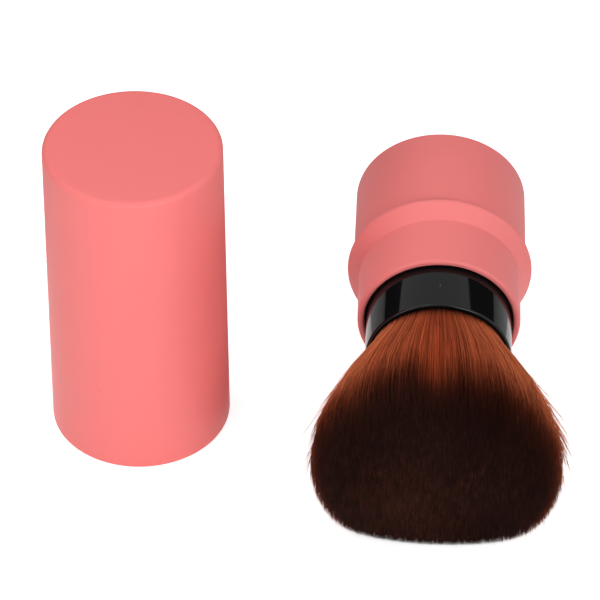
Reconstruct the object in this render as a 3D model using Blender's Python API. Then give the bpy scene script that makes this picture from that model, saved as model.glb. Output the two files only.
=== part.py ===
"""Retractable face brush lying on a table, with its cap taken off and stood beside it.

Metres, +Z up. The origin lies on the table, under the middle of brush and cap together.
The brush's axis runs along Y: the barrel's closed end is at +Y and the bristles are at -Y.
Its pieces are modelled about their own Z, where height is the distance from the closed end.
The cap stands on its mouth, with its axis along Z.
"""

import math

import bmesh
import bpy
from mathutils import Matrix, Vector
from mathutils.geometry import delaunay_2d_cdt

MM = 0.001

# Clearances
SEAT_GAP = 0.3 * MM  # between pieces that are glued, pressed or stopped against each other
RUNNING_GAP = 0.4 * MM  # between the ferrule and the bore that slides over it
SLIDE_GAP = 0.3 * MM  # between the slide tube and the barrel
CAP_FIT = 0.15 * MM  # between the collar and the cap's bore

# Radial sizes, from the ferrule outwards
FERRULE_RADIUS = 16.3 * MM
FERRULE_WALL = 1.2 * MM
SLIDE_TUBE_WALL = 1.2 * MM
BARREL_WALL = 1.39 * MM
BARREL_DRAFT = 0.16 * MM  # how much narrower the barrel is at its closed end
COLLAR_WALL = 1.57 * MM
RIDGE_HEIGHT = 2.63 * MM  # of its crest over the collar
CAP_WALL = 1.58 * MM
CAP_DRAFT = 0.55 * MM  # how much narrower the cap is at its closed top
STOP_LIP_DEPTH = 1.2 * MM
CORE_WALL = 2.0 * MM
RING_SECTION_RADIUS = 0.6 * MM

# Lengths along the brush
BARREL_LENGTH = 23.7 * MM
BARREL_FLOOR = 1.8 * MM
CREST_SETBACK = 1.1 * MM  # from the ridge's rear face to its crest
COLLAR_REACH = 17.7 * MM  # from the crest to the collar's rim
FERRULE_REACH = 12.4 * MM  # of the ferrule out of the collar's rim
BRISTLE_REACH = 43.2 * MM  # of the bristles' tip out of the ferrule
SLEEVE_TRAVEL = 20.0 * MM
STOP_LIP_LENGTH = 1.2 * MM
SLIDE_TUBE_SOCKET = 2.9 * MM  # how far the slide tube goes into the ridge
FLANGE_LENGTH = 1.5 * MM
BOSS_HEIGHT = 6.0 * MM
CORE_WEB = 2.0 * MM
ROOT_DEPTH = 0.6 * MM  # of the backing's face below the ferrule's mouth
BACKING_LENGTH = 3.0 * MM
PUCK_LENGTH = 10.8 * MM
CAP_TOP = 1.8 * MM
CAP_TIP_ROOM = 5.35 * MM  # between the bristles' tip and the inside of the closed cap

# Edges
BARREL_END_ROUND = 0.6 * MM
BARREL_MOUTH_ROUND = 0.25 * MM
CREST_ROUND = 1.2 * MM
RIDGE_EDGE_ROUND = 0.2 * MM
RIDGE_ROOT_ROUND = 0.5 * MM
RIM_ROUND = 0.7 * MM
RIM_BORE_ROUND = 0.3 * MM
FERRULE_LIP_ROUND = 0.5 * MM
CAP_TOP_ROUND = 0.9 * MM
CAP_MOUTH_ROUND = 0.3 * MM
CAP_INSIDE_ROUND = 1.5 * MM
RIDGE_FRONT_SLOPE = math.radians(37.5)  # of the ridge's flanks to the axis
RIDGE_REAR_SLOPE = math.radians(50)

# Screw, its boss and the ribs that centre the core
SCREW_RADIUS = 1.5 * MM
SCREW_THREAD_DEPTH = 0.35 * MM
SCREW_PITCH = 1.2 * MM
SCREW_TURNS = 4
SCREW_HEAD_RADIUS = 3.0 * MM
SCREW_HEAD_HEIGHT = 1.7 * MM
SCREW_HEAD_ROUND = 0.8 * MM
SCREW_SHANK = 1.6 * MM  # plain length under the head
SCREW_POINT = 0.8 * MM
CROSS_LENGTH = 3.4 * MM
CROSS_WIDTH = 0.8 * MM
CROSS_DEPTH = 0.9 * MM
BOSS_WALL = 2.2 * MM
RIB_COUNT = 4
RIB_THICKNESS = 1.2 * MM
RIB_HEIGHT = 4.0 * MM

# Bristles
HEAD_RADIUS = 27.2 * MM
DOME_HEIGHT = 8.9 * MM  # from the widest place to the tip
STRAND_COUNT = 330
STRAND_ROOT_RADIUS = 0.42 * MM
STRAND_BELLY_RADIUS = 0.6 * MM
STRAND_TIP_RADIUS = 0.28 * MM
STRAND_RING_SHARES = (0.36, 0.72, 1.0)  # of a strand's length
DOME_POWER = 2.5  # of the superellipse that the tips lie on; 2 would be an ellipse
LEAN_SHARE = 0.09  # of its height over the axis, how much farther forward a tip reaches

# Places on the table
AXIS_SPACING = 66.76 * MM  # between the cap's axis and the brush's
CAP_SETBACK = 50.3 * MM  # of the cap's axis in front of the barrel's closed end

ROUND_SEGMENTS = 48
SCREW_SEGMENTS = 24
FILLET_STEPS = 3
RING_STEPS = 8
WELD = 0.001 * MM
OVERRUN = 0.4 * MM  # how far a cutter or a fused rib runs past the face that it meets
SHARP_ANGLE = math.radians(32)

# Radii that follow
SLEEVE_BORE = FERRULE_RADIUS + RUNNING_GAP
SLIDE_TUBE_RADIUS = SLEEVE_BORE + SLIDE_TUBE_WALL
BARREL_BORE = SLIDE_TUBE_RADIUS + SLIDE_GAP
BARREL_MOUTH_RADIUS = BARREL_BORE + BARREL_WALL
COLLAR_RADIUS = SLEEVE_BORE + COLLAR_WALL
RIDGE_RADIUS = COLLAR_RADIUS + RIDGE_HEIGHT
CAP_BORE = COLLAR_RADIUS + CAP_FIT
CAP_RADIUS = CAP_BORE + CAP_WALL
FERRULE_BORE = FERRULE_RADIUS - FERRULE_WALL
STOP_LIP_RADIUS = SLEEVE_BORE - STOP_LIP_DEPTH
CORE_RADIUS = STOP_LIP_RADIUS - SEAT_GAP
CORE_BORE = CORE_RADIUS - CORE_WALL
SPIGOT_RADIUS = FERRULE_BORE - SEAT_GAP
SCREW_HOLE = SCREW_RADIUS + SEAT_GAP
BOSS_RADIUS = SCREW_HOLE + BOSS_WALL

# Heights that follow, from the barrel's closed end
RIDGE_REAR = BARREL_LENGTH + SEAT_GAP
CREST = RIDGE_REAR + CREST_SETBACK
COLLAR_RIM = CREST + COLLAR_REACH
FERRULE_MOUTH = COLLAR_RIM + FERRULE_REACH
TIP = FERRULE_MOUTH + BRISTLE_REACH
WIDEST = TIP - DOME_HEIGHT
CORE_REAR = BARREL_FLOOR + SEAT_GAP
LIP_FRONT = CORE_REAR + STOP_LIP_LENGTH
FLANGE_REAR = LIP_FRONT + SLEEVE_TRAVEL + SEAT_GAP
FLANGE_FRONT = FLANGE_REAR + FLANGE_LENGTH
FERRULE_REAR = FLANGE_FRONT + 2 * (RING_SECTION_RADIUS + SEAT_GAP)
SOCKET_END = RIDGE_REAR + SLIDE_TUBE_SOCKET + SEAT_GAP
BACKING_FRONT = FERRULE_MOUTH - ROOT_DEPTH
BACKING_REAR = BACKING_FRONT - BACKING_LENGTH
PUCK_FRONT = BACKING_REAR - SEAT_GAP
PUCK_REAR = PUCK_FRONT - PUCK_LENGTH
SPIGOT_FRONT = PUCK_REAR - SEAT_GAP
BOSS_TOP = BARREL_FLOOR + BOSS_HEIGHT
WEB_REAR = BOSS_TOP + SEAT_GAP
WEB_FRONT = WEB_REAR + CORE_WEB
SCREW_SEAT = WEB_FRONT + SEAT_GAP
THREAD_LENGTH = SCREW_TURNS * SCREW_PITCH
SCREW_END = SCREW_SEAT - SCREW_SHANK - THREAD_LENGTH - SCREW_POINT
HOLE_END = SCREW_END - SEAT_GAP

# Base colour, roughness and metallic value of each finish
SOFT_TOUCH_PINK = ((0.80, 0.185, 0.170), 0.55, 0.0)
PLAIN_PINK = ((0.66, 0.16, 0.15), 0.40, 0.0)
GLOSS_BLACK = ((0.008, 0.008, 0.009), 0.10, 0.0)
BLACK_PLASTIC = ((0.02, 0.02, 0.022), 0.45, 0.0)
RUBBER_GREY = ((0.05, 0.05, 0.05), 0.80, 0.0)
ZINC = ((0.55, 0.56, 0.58), 0.30, 1.0)
SET_GLUE = ((0.45, 0.33, 0.16), 0.35, 0.0)
BRISTLE_BROWN = ((0.12, 0.035, 0.018), 0.60, 0.0)


def clear_scene():
    """Empties the scene that Blender opens with."""
    for thing in list(bpy.data.objects):
        bpy.data.objects.remove(thing, do_unlink=True)


def finish_material(name, finish):
    """A Principled material of one finish: colour, roughness and metallic value."""
    colour, roughness, metallic = finish
    material = bpy.data.materials.new(name)
    material.use_nodes = True
    shader = material.node_tree.nodes["Principled BSDF"]
    shader.inputs["Base Color"].default_value = (*colour, 1.0)
    shader.inputs["Roughness"].default_value = roughness
    shader.inputs["Metallic"].default_value = metallic
    return material


def joint_frame(name, location, tilt):
    """An empty on a joint's axis, tilted about X. A body's pieces are its children."""
    frame = bpy.data.objects.new(name, None)
    frame.location = location
    frame.rotation_euler.x = tilt
    bpy.context.scene.collection.objects.link(frame)
    return frame


def piece_from(bm, name, finish, frame):
    """A named object from a bmesh, shaded smooth but for its edges, under its joint's frame."""
    bmesh.ops.recalc_face_normals(bm, faces=bm.faces)
    mesh = bpy.data.meshes.new(name)
    bm.to_mesh(mesh)
    bm.free()
    mesh.shade_smooth()
    mesh.set_sharp_from_angle(angle=SHARP_ANGLE)
    mesh.materials.append(finish_material(name, finish))
    piece = bpy.data.objects.new(name, mesh)
    piece.parent = frame
    bpy.context.scene.collection.objects.link(piece)
    return piece


def rounded_outline(corners):
    """Outline points through corners of (radius, height, fillet), each fillet drawn as an arc."""
    points = []
    for place, (radius, height, fillet) in enumerate(corners):
        corner = Vector((radius, height))
        if fillet == 0:
            points.append(corner)
            continue
        back = (Vector(corners[place - 1][:2]) - corner).normalized()
        ahead = (Vector(corners[(place + 1) % len(corners)][:2]) - corner).normalized()
        half = back.angle(ahead) / 2
        centre = corner + (back + ahead).normalized() * fillet / math.sin(half)
        start = corner + back * fillet / math.tan(half) - centre
        end = corner + ahead * fillet / math.tan(half) - centre
        sweep = math.copysign(start.angle(end), start.cross(end))
        for step in range(FILLET_STEPS + 1):
            turn = Matrix.Rotation(sweep * step / FILLET_STEPS, 2)
            points.append(centre + turn @ start)
    return points


def turned(outline, segments=ROUND_SEGMENTS):
    """A bmesh turned about Z from an outline of (radius, height) points.

    The outline closes on itself, or starts and ends on the axis.
    """
    bm = bmesh.new()
    ring = [bm.verts.new((radius, 0, height)) for radius, height in outline]
    edges = [bm.edges.new(pair) for pair in zip(ring, ring[1:])]
    if outline[0][0] > 0:
        edges.append(bm.edges.new((ring[-1], ring[0])))
    bmesh.ops.spin(
        bm,
        geom=ring + edges,
        axis=(0, 0, 1),
        cent=(0, 0, 0),
        angle=math.tau,
        steps=segments,
        use_merge=True,
    )
    bmesh.ops.remove_doubles(bm, verts=bm.verts, dist=WELD)
    return bm


def block(low, high):
    """A bmesh box between two corners."""
    bm = bmesh.new()
    low, high = Vector(low), Vector(high)
    size = Matrix.Diagonal((*(high - low), 1))
    bmesh.ops.create_cube(bm, size=1, matrix=Matrix.Translation((low + high) / 2) @ size)
    return bm


def helper_solid(bm, name, frame, turn):
    """A solid that only shapes another piece, turned about the frame's Z."""
    mesh = bpy.data.meshes.new(name)
    bmesh.ops.recalc_face_normals(bm, faces=bm.faces)
    bm.to_mesh(mesh)
    bm.free()
    helper = bpy.data.objects.new(name, mesh)
    helper.parent = frame
    helper.rotation_euler.z = turn
    helper.hide_render = True
    helper.display_type = "WIRE"
    bpy.context.scene.collection.objects.link(helper)
    return helper


def combine(piece, helper, operation):
    """Fuses a helper solid to a piece, or cuts it out."""
    modifier = piece.modifiers.new(helper.name, "BOOLEAN")
    modifier.operation = operation
    modifier.object = helper


def make_cap_shell(frame):
    """The cap: a drafted cup that stands on its mouth and is deep enough for the bristles."""
    depth = TIP - ridge_root() + CAP_TIP_ROOM
    height = depth + CAP_TOP
    outline = rounded_outline(
        [
            (0, height, 0),
            (CAP_RADIUS - CAP_DRAFT, height, CAP_TOP_ROUND),
            (CAP_RADIUS, 0, CAP_MOUTH_ROUND),
            (CAP_BORE, 0, CAP_MOUTH_ROUND),
            (CAP_BORE - CAP_DRAFT, depth, CAP_INSIDE_ROUND),
            (0, depth, 0),
        ]
    )
    return piece_from(turned(outline), "cap_shell", SOFT_TOUCH_PINK, frame)


def make_base_cup(frame):
    """The barrel: a cup closed at its far end, with the screw's boss and ribs on its floor."""
    outline = rounded_outline(
        [
            (0, 0, 0),
            (BARREL_MOUTH_RADIUS - BARREL_DRAFT, 0, BARREL_END_ROUND),
            (BARREL_MOUTH_RADIUS, BARREL_LENGTH, BARREL_MOUTH_ROUND),
            (BARREL_BORE, BARREL_LENGTH, BARREL_MOUTH_ROUND),
            (BARREL_BORE, BARREL_FLOOR, 0),
            (BOSS_RADIUS, BARREL_FLOOR, 0),
            (BOSS_RADIUS, BOSS_TOP, 0),
            (SCREW_HOLE, BOSS_TOP, 0),
            (SCREW_HOLE, HOLE_END, 0),
            (0, HOLE_END, 0),
        ]
    )
    cup = piece_from(turned(outline), "base_cup", SOFT_TOUCH_PINK, frame)
    for number in range(RIB_COUNT):
        rib = block(
            (BOSS_RADIUS - OVERRUN, -RIB_THICKNESS / 2, BARREL_FLOOR - OVERRUN),
            (CORE_BORE - SEAT_GAP, RIB_THICKNESS / 2, BARREL_FLOOR + RIB_HEIGHT),
        )
        turn = math.tau * number / RIB_COUNT
        combine(cup, helper_solid(rib, f"centring_rib_{number + 1}", frame, turn), "UNION")
    return cup


def make_core_tube(frame):
    """The core: a tube on the barrel's floor, with a web for the screw, the flange that stops
    the slide tube, and the spigot that the friction ring and the ferrule sit on."""
    outline = [
        (CORE_BORE, CORE_REAR),
        (CORE_RADIUS, CORE_REAR),
        (CORE_RADIUS, FLANGE_REAR),
        (FERRULE_RADIUS, FLANGE_REAR),
        (FERRULE_RADIUS, FLANGE_FRONT),
        (SPIGOT_RADIUS, FLANGE_FRONT),
        (SPIGOT_RADIUS, SPIGOT_FRONT),
        (CORE_BORE, SPIGOT_FRONT),
        (CORE_BORE, WEB_FRONT),
        (SCREW_HOLE, WEB_FRONT),
        (SCREW_HOLE, WEB_REAR),
        (CORE_BORE, WEB_REAR),
    ]
    return piece_from(turned(outline), "core_tube", BLACK_PLASTIC, frame)


def make_core_screw(frame):
    """The pan-head screw that holds the core down on the boss, with a cross in its head."""
    thread_top = SCREW_SEAT - SCREW_SHANK
    root = SCREW_RADIUS - SCREW_THREAD_DEPTH
    outline = [(0, SCREW_END), (root, SCREW_END + SCREW_POINT)]
    for turn in range(SCREW_TURNS):
        height = SCREW_END + SCREW_POINT + turn * SCREW_PITCH
        outline.append((SCREW_RADIUS, height + SCREW_PITCH / 2))
        outline.append((root, height + SCREW_PITCH))
    head_top = SCREW_SEAT + SCREW_HEAD_HEIGHT
    outline += [(SCREW_RADIUS, thread_top + SCREW_THREAD_DEPTH), (SCREW_RADIUS, SCREW_SEAT)]
    outline += rounded_outline(
        [
            (SCREW_HEAD_RADIUS, SCREW_SEAT, 0),
            (SCREW_HEAD_RADIUS, head_top, SCREW_HEAD_ROUND),
            (0, head_top, 0),
        ]
    )
    screw = piece_from(turned(outline, SCREW_SEGMENTS), "core_screw", ZINC, frame)
    for number in range(2):
        slot = block(
            (-CROSS_LENGTH / 2, -CROSS_WIDTH / 2, head_top - CROSS_DEPTH),
            (CROSS_LENGTH / 2, CROSS_WIDTH / 2, head_top + OVERRUN),
        )
        turn = math.pi / 4 + number * math.pi / 2
        combine(screw, helper_solid(slot, f"cross_slot_{number + 1}", frame, turn), "DIFFERENCE")
    return screw


def make_friction_ring(frame):
    """The O-ring between flange and ferrule, which drags on the sleeve's bore."""
    centre_radius = SPIGOT_RADIUS + SEAT_GAP + RING_SECTION_RADIUS
    centre_height = (FLANGE_FRONT + FERRULE_REAR) / 2
    outline = []
    for step in range(RING_STEPS):
        angle = math.tau * step / RING_STEPS
        radius = centre_radius + RING_SECTION_RADIUS * math.cos(angle)
        outline.append((radius, centre_height + RING_SECTION_RADIUS * math.sin(angle)))
    return piece_from(turned(outline), "friction_ring", RUBBER_GREY, frame)


def make_ferrule_cup(frame):
    """The gloss ferrule: a tube over the core's spigot, with a rounded lip round the bristles."""
    outline = rounded_outline(
        [
            (FERRULE_BORE, FERRULE_REAR, 0),
            (FERRULE_RADIUS, FERRULE_REAR, 0),
            (FERRULE_RADIUS, FERRULE_MOUTH, FERRULE_LIP_ROUND),
            (FERRULE_BORE, FERRULE_MOUTH, FERRULE_LIP_ROUND),
        ]
    )
    return piece_from(turned(outline), "ferrule_cup", GLOSS_BLACK, frame)


def make_glue_puck(frame):
    """The glue that has set behind the bristles' backing, inside the ferrule."""
    outline = [(0, PUCK_REAR), (SPIGOT_RADIUS, PUCK_REAR), (SPIGOT_RADIUS, PUCK_FRONT)]
    return piece_from(turned([*outline, (0, PUCK_FRONT)]), "glue_puck", SET_GLUE, frame)


def make_slide_tube(frame):
    """The tube behind the collar that slides in the barrel. Its rear lip runs along the core."""
    outline = [
        (STOP_LIP_RADIUS, CORE_REAR),
        (SLIDE_TUBE_RADIUS, CORE_REAR),
        (SLIDE_TUBE_RADIUS, SOCKET_END - SEAT_GAP),
        (SLEEVE_BORE, SOCKET_END - SEAT_GAP),
        (SLEEVE_BORE, LIP_FRONT),
        (STOP_LIP_RADIUS, LIP_FRONT),
    ]
    return piece_from(turned(outline), "slide_tube", PLAIN_PINK, frame)


def crest_point(angle):
    """(radius, height) of the ridge's round crest, where its surface faces angle forwards."""
    centre = RIDGE_RADIUS - CREST_ROUND
    return (centre + CREST_ROUND * math.cos(angle), CREST + CREST_ROUND * math.sin(angle))


def ridge_root():
    """The height where the ridge's front flank meets the collar, which the cap seats on."""
    radius, height = crest_point(RIDGE_FRONT_SLOPE)
    return height + (radius - COLLAR_RADIUS) / math.tan(RIDGE_FRONT_SLOPE)


def make_sleeve_collar(frame):
    """The collar that the cap fits over, with the ridge that it is gripped and capped by."""
    rear_radius, rear_height = crest_point(-RIDGE_REAR_SLOPE)
    rear_radius -= (rear_height - RIDGE_REAR) * math.tan(RIDGE_REAR_SLOPE)
    socket = SLIDE_TUBE_RADIUS + SEAT_GAP
    corners = [(socket, RIDGE_REAR, 0), (rear_radius, RIDGE_REAR, RIDGE_EDGE_ROUND)]
    for step in range(FILLET_STEPS + 1):
        share = step / FILLET_STEPS
        angle = -RIDGE_REAR_SLOPE + share * (RIDGE_FRONT_SLOPE + RIDGE_REAR_SLOPE)
        corners.append((*crest_point(angle), 0))
    corners += [
        (COLLAR_RADIUS, ridge_root(), RIDGE_ROOT_ROUND),
        (COLLAR_RADIUS, COLLAR_RIM, RIM_ROUND),
        (SLEEVE_BORE, COLLAR_RIM, RIM_BORE_ROUND),
        (SLEEVE_BORE, SOCKET_END, 0),
        (socket, SOCKET_END, 0),
    ]
    outline = rounded_outline(corners)
    return piece_from(turned(outline), "sleeve_collar", SOFT_TOUCH_PINK, frame)


def head_radius(height):
    """The radius that the outermost strands have flared to at a height."""
    root = SPIGOT_RADIUS - STRAND_ROOT_RADIUS - SEAT_GAP
    flare = min(1, (height - BACKING_FRONT) / (WIDEST - BACKING_FRONT))
    return root + (HEAD_RADIUS - STRAND_TIP_RADIUS - root) * math.sin(flare * math.pi / 2)


def on_the_table(point, thickness):
    """Presses a point of a strand's side up, where the head would else reach under the table."""
    fullest = head_radius(point.z) + thickness
    if point.y < 0 and fullest > RIDGE_RADIUS:
        point.y *= RIDGE_RADIUS / fullest
    return point


def strand_rings(angle, share):
    """The three-sided rings of a strand that is rooted at a polar angle and a share of the
    head's radius. Every strand keeps its share all the way, so no two of them cross."""
    rise = DOME_HEIGHT * (1 - share**DOME_POWER) ** (1 / DOME_POWER)
    tip_height = WIDEST + rise + LEAN_SHARE * share * HEAD_RADIUS * math.sin(angle)
    stations = [(0, STRAND_ROOT_RADIUS)]
    radii = (STRAND_BELLY_RADIUS, STRAND_BELLY_RADIUS, STRAND_TIP_RADIUS)
    stations += list(zip(STRAND_RING_SHARES, radii))
    rings = []
    for length_share, thickness in stations:
        height = BACKING_FRONT + length_share * (tip_height - BACKING_FRONT)
        out = share * head_radius(height)
        centre = Vector((out * math.cos(angle), out * math.sin(angle), height))
        corners = []
        for side in range(3):
            around = angle + math.tau * side / 3
            offset = Vector((math.cos(around), math.sin(around), 0)) * thickness
            corners.append(on_the_table(centre + offset, thickness))
        rings.append(corners)
    return rings


def make_bristle_head(frame):
    """The bristles as strands that grow out of one face of their backing slice.

    Their roots are spread like a sunflower's seeds. The face between them is triangulated, and
    each root's own triangle is left open for its strand.
    """
    golden_angle = math.pi * (3 - math.sqrt(5))
    strands = []
    for number in range(STRAND_COUNT):
        share = math.sqrt((number + 1) / STRAND_COUNT)
        strands.append(strand_rings(number * golden_angle, share))
    points, roots, rim = [], [], []
    for rings in strands:
        roots.append([len(points) + side for side in range(3)])
        points += [corner.to_2d() for corner in rings[0]]
    for step in range(ROUND_SEGMENTS):
        angle = math.tau * step / ROUND_SEGMENTS
        rim.append(len(points))
        points.append(SPIGOT_RADIUS * Vector((math.cos(angle), math.sin(angle))))
    flat, _, triangles, sources, _, owners = delaunay_2d_cdt(points, [], roots, 0, WELD)

    bm = bmesh.new()
    front = {}
    for place, source in zip(flat, sources):
        front[source[0]] = bm.verts.new((*place, BACKING_FRONT))
    for triangle, owner in zip(triangles, owners):
        if not owner:
            bm.faces.new([front[sources[corner][0]] for corner in triangle])
    for root, rings in zip(roots, strands):
        below = [front[corner] for corner in root]
        for ring in rings[1:]:
            above = [bm.verts.new(corner) for corner in ring]
            for side in range(3):
                after = (side + 1) % 3
                bm.faces.new((below[side], below[after], above[after], above[side]))
            below = above
        bm.faces.new(below)
    rear = [bm.verts.new((*points[corner], BACKING_REAR)) for corner in rim]
    for step, corner in enumerate(rim):
        after = (step + 1) % ROUND_SEGMENTS
        bm.faces.new((front[corner], front[rim[after]], rear[after], rear[step]))
    bm.faces.new(rear)
    return piece_from(bm, "bristle_head", BRISTLE_BROWN, frame)


def main():
    """Builds the brush and the cap in their places on the table."""
    clear_scene()
    half_span = (CAP_RADIUS + AXIS_SPACING + HEAD_RADIUS) / 2
    brush_place = (half_span - HEAD_RADIUS, TIP / 2, RIDGE_RADIUS)
    cap_place = (CAP_RADIUS - half_span, TIP / 2 - CAP_SETBACK, 0)
    brush = joint_frame("brush_frame", brush_place, math.pi / 2)
    sleeve = joint_frame("sleeve_frame", brush_place, math.pi / 2)
    cap = joint_frame("cap_frame", cap_place, 0)

    make_base_cup(brush)
    make_core_tube(brush)
    make_core_screw(brush)
    make_friction_ring(brush)
    make_ferrule_cup(brush)
    make_glue_puck(brush)
    make_bristle_head(brush)
    make_slide_tube(sleeve)
    make_sleeve_collar(sleeve)
    make_cap_shell(cap)


main()
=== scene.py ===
"""Looks of a retractable face brush that lies on a table, with its cap stood beside it.

Metres, +Z up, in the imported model's own frame. The brush's pieces are modelled about their own
Z, where height is the distance from the barrel's closed end, and are then laid along -Y.
"""

import logging
import math
from dataclasses import dataclass
from enum import Enum
from typing import Mapping, Sequence, Union

import bmesh
import bpy
import numpy as np
from mathutils import Euler, Matrix, Vector
from mathutils.kdtree import KDTree

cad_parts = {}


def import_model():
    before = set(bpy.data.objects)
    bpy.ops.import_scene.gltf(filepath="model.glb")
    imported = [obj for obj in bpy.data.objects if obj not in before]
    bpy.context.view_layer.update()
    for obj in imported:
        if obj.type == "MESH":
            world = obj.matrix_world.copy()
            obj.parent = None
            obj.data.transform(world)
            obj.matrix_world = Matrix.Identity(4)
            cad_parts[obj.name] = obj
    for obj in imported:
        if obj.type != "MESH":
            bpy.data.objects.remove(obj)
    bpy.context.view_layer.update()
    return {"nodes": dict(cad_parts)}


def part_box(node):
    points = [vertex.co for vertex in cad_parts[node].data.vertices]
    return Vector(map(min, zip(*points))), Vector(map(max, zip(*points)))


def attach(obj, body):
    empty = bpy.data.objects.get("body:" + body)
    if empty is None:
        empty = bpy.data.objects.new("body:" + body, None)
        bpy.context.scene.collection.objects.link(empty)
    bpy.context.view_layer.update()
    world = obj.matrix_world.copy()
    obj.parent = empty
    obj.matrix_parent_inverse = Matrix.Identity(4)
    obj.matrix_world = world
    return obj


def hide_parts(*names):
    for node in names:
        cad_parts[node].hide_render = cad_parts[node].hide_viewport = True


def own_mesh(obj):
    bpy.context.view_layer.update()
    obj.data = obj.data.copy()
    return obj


log = logging.getLogger("face_brush")

MM = 0.001
ROUND_SEGMENTS = 168
FILLET_STEPS = 8
ON_AXIS = 0.001 * MM
GOLDEN_ANGLE = math.pi * (3 - math.sqrt(5))
SHARP_ANGLE = math.radians(32)
BAKE_MAP = "OFBake"
MIX_FIRST, MIX_SECOND, MIX_RESULT = 6, 7, 2  # the numbers of a Mix node's colour sockets
BELOW_ONE = 0.999
HAIR_SIDES = 3
TABLE_GAP = 0.2 * MM  # between the table and the bristles pressed by it
DOME_TOP = 98.4 * MM  # the most that the dome may rise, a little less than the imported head's reach

Place = Sequence[float]
Colour = tuple[float, float, float]
Span = tuple[float, float]  # a low and a high end
Table = tuple[tuple[float, float], ...]  # places in rising order, each with its value
Outline = list[tuple[float, float]]


class Body(Enum):
    """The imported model's bodies, which every piece rides on."""

    BRUSH = "brush"
    SLEEVE = "sleeve"
    CAP = "cap"


class Slot(Enum):
    """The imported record's material slots."""

    SOFT_TOUCH = "soft_touch_pink"
    PLAIN = "plain_pink"
    BLACK_PLASTIC = "black_plastic"
    STEEL = "zinc_steel"
    RUBBER = "grey_rubber"
    GLOSS = "gloss_black"
    GLUE = "set_glue"
    HAIR = "bristles"


class Wire:
    """One output of a shader node, with the arithmetic that the finishes are written in."""

    def __init__(self, graph: "Graph", socket: bpy.types.NodeSocket) -> None:
        """Keeps the output that it stands for, and the graph that new nodes go into."""
        self.graph = graph
        self.socket = socket

    def _sum(self, operation: str, first: "Operand", second: "Operand") -> "Wire":
        """One Math node over two operands."""
        return self.graph.add("ShaderNodeMath", {"operation": operation}, {0: first, 1: second})

    def __add__(self, other: "Operand") -> "Wire":
        """This plus other."""
        return self._sum("ADD", self, other)

    def __radd__(self, other: "Operand") -> "Wire":
        """Other plus this."""
        return self._sum("ADD", other, self)

    def __sub__(self, other: "Operand") -> "Wire":
        """This minus other."""
        return self._sum("SUBTRACT", self, other)

    def __rsub__(self, other: "Operand") -> "Wire":
        """Other minus this."""
        return self._sum("SUBTRACT", other, self)

    def __mul__(self, other: "Operand") -> "Wire":
        """This times other."""
        return self._sum("MULTIPLY", self, other)

    def __rmul__(self, other: "Operand") -> "Wire":
        """Other times this."""
        return self._sum("MULTIPLY", other, self)

    def __truediv__(self, other: "Operand") -> "Wire":
        """This over other."""
        return self._sum("DIVIDE", self, other)

    def __rtruediv__(self, other: "Operand") -> "Wire":
        """Other over this."""
        return self._sum("DIVIDE", other, self)

    def __pow__(self, other: "Operand") -> "Wire":
        """This to the power of other."""
        return self._sum("POWER", self, other)

    def __rpow__(self, other: "Operand") -> "Wire":
        """Other to the power of this."""
        return self._sum("POWER", other, self)

    def floored(self) -> "Wire":
        """The whole number below this."""
        return self.graph.add("ShaderNodeMath", {"operation": "FLOOR"}, {0: self})

    def between(self, low: float, high: float) -> "Wire":
        """A smooth rise from 0 where this is low to 1 where it is high."""
        settings = {"interpolation_type": "SMOOTHSTEP"}
        return self.graph.add("ShaderNodeMapRange", settings, {0: self, 1: low, 2: high})

    def spread(self, span: Span) -> "Wire":
        """A span's low end where this is 0, and its high end where this is 1."""
        low, high = span
        return low + self * (high - low)


Operand = Union[Wire, float]


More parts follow.
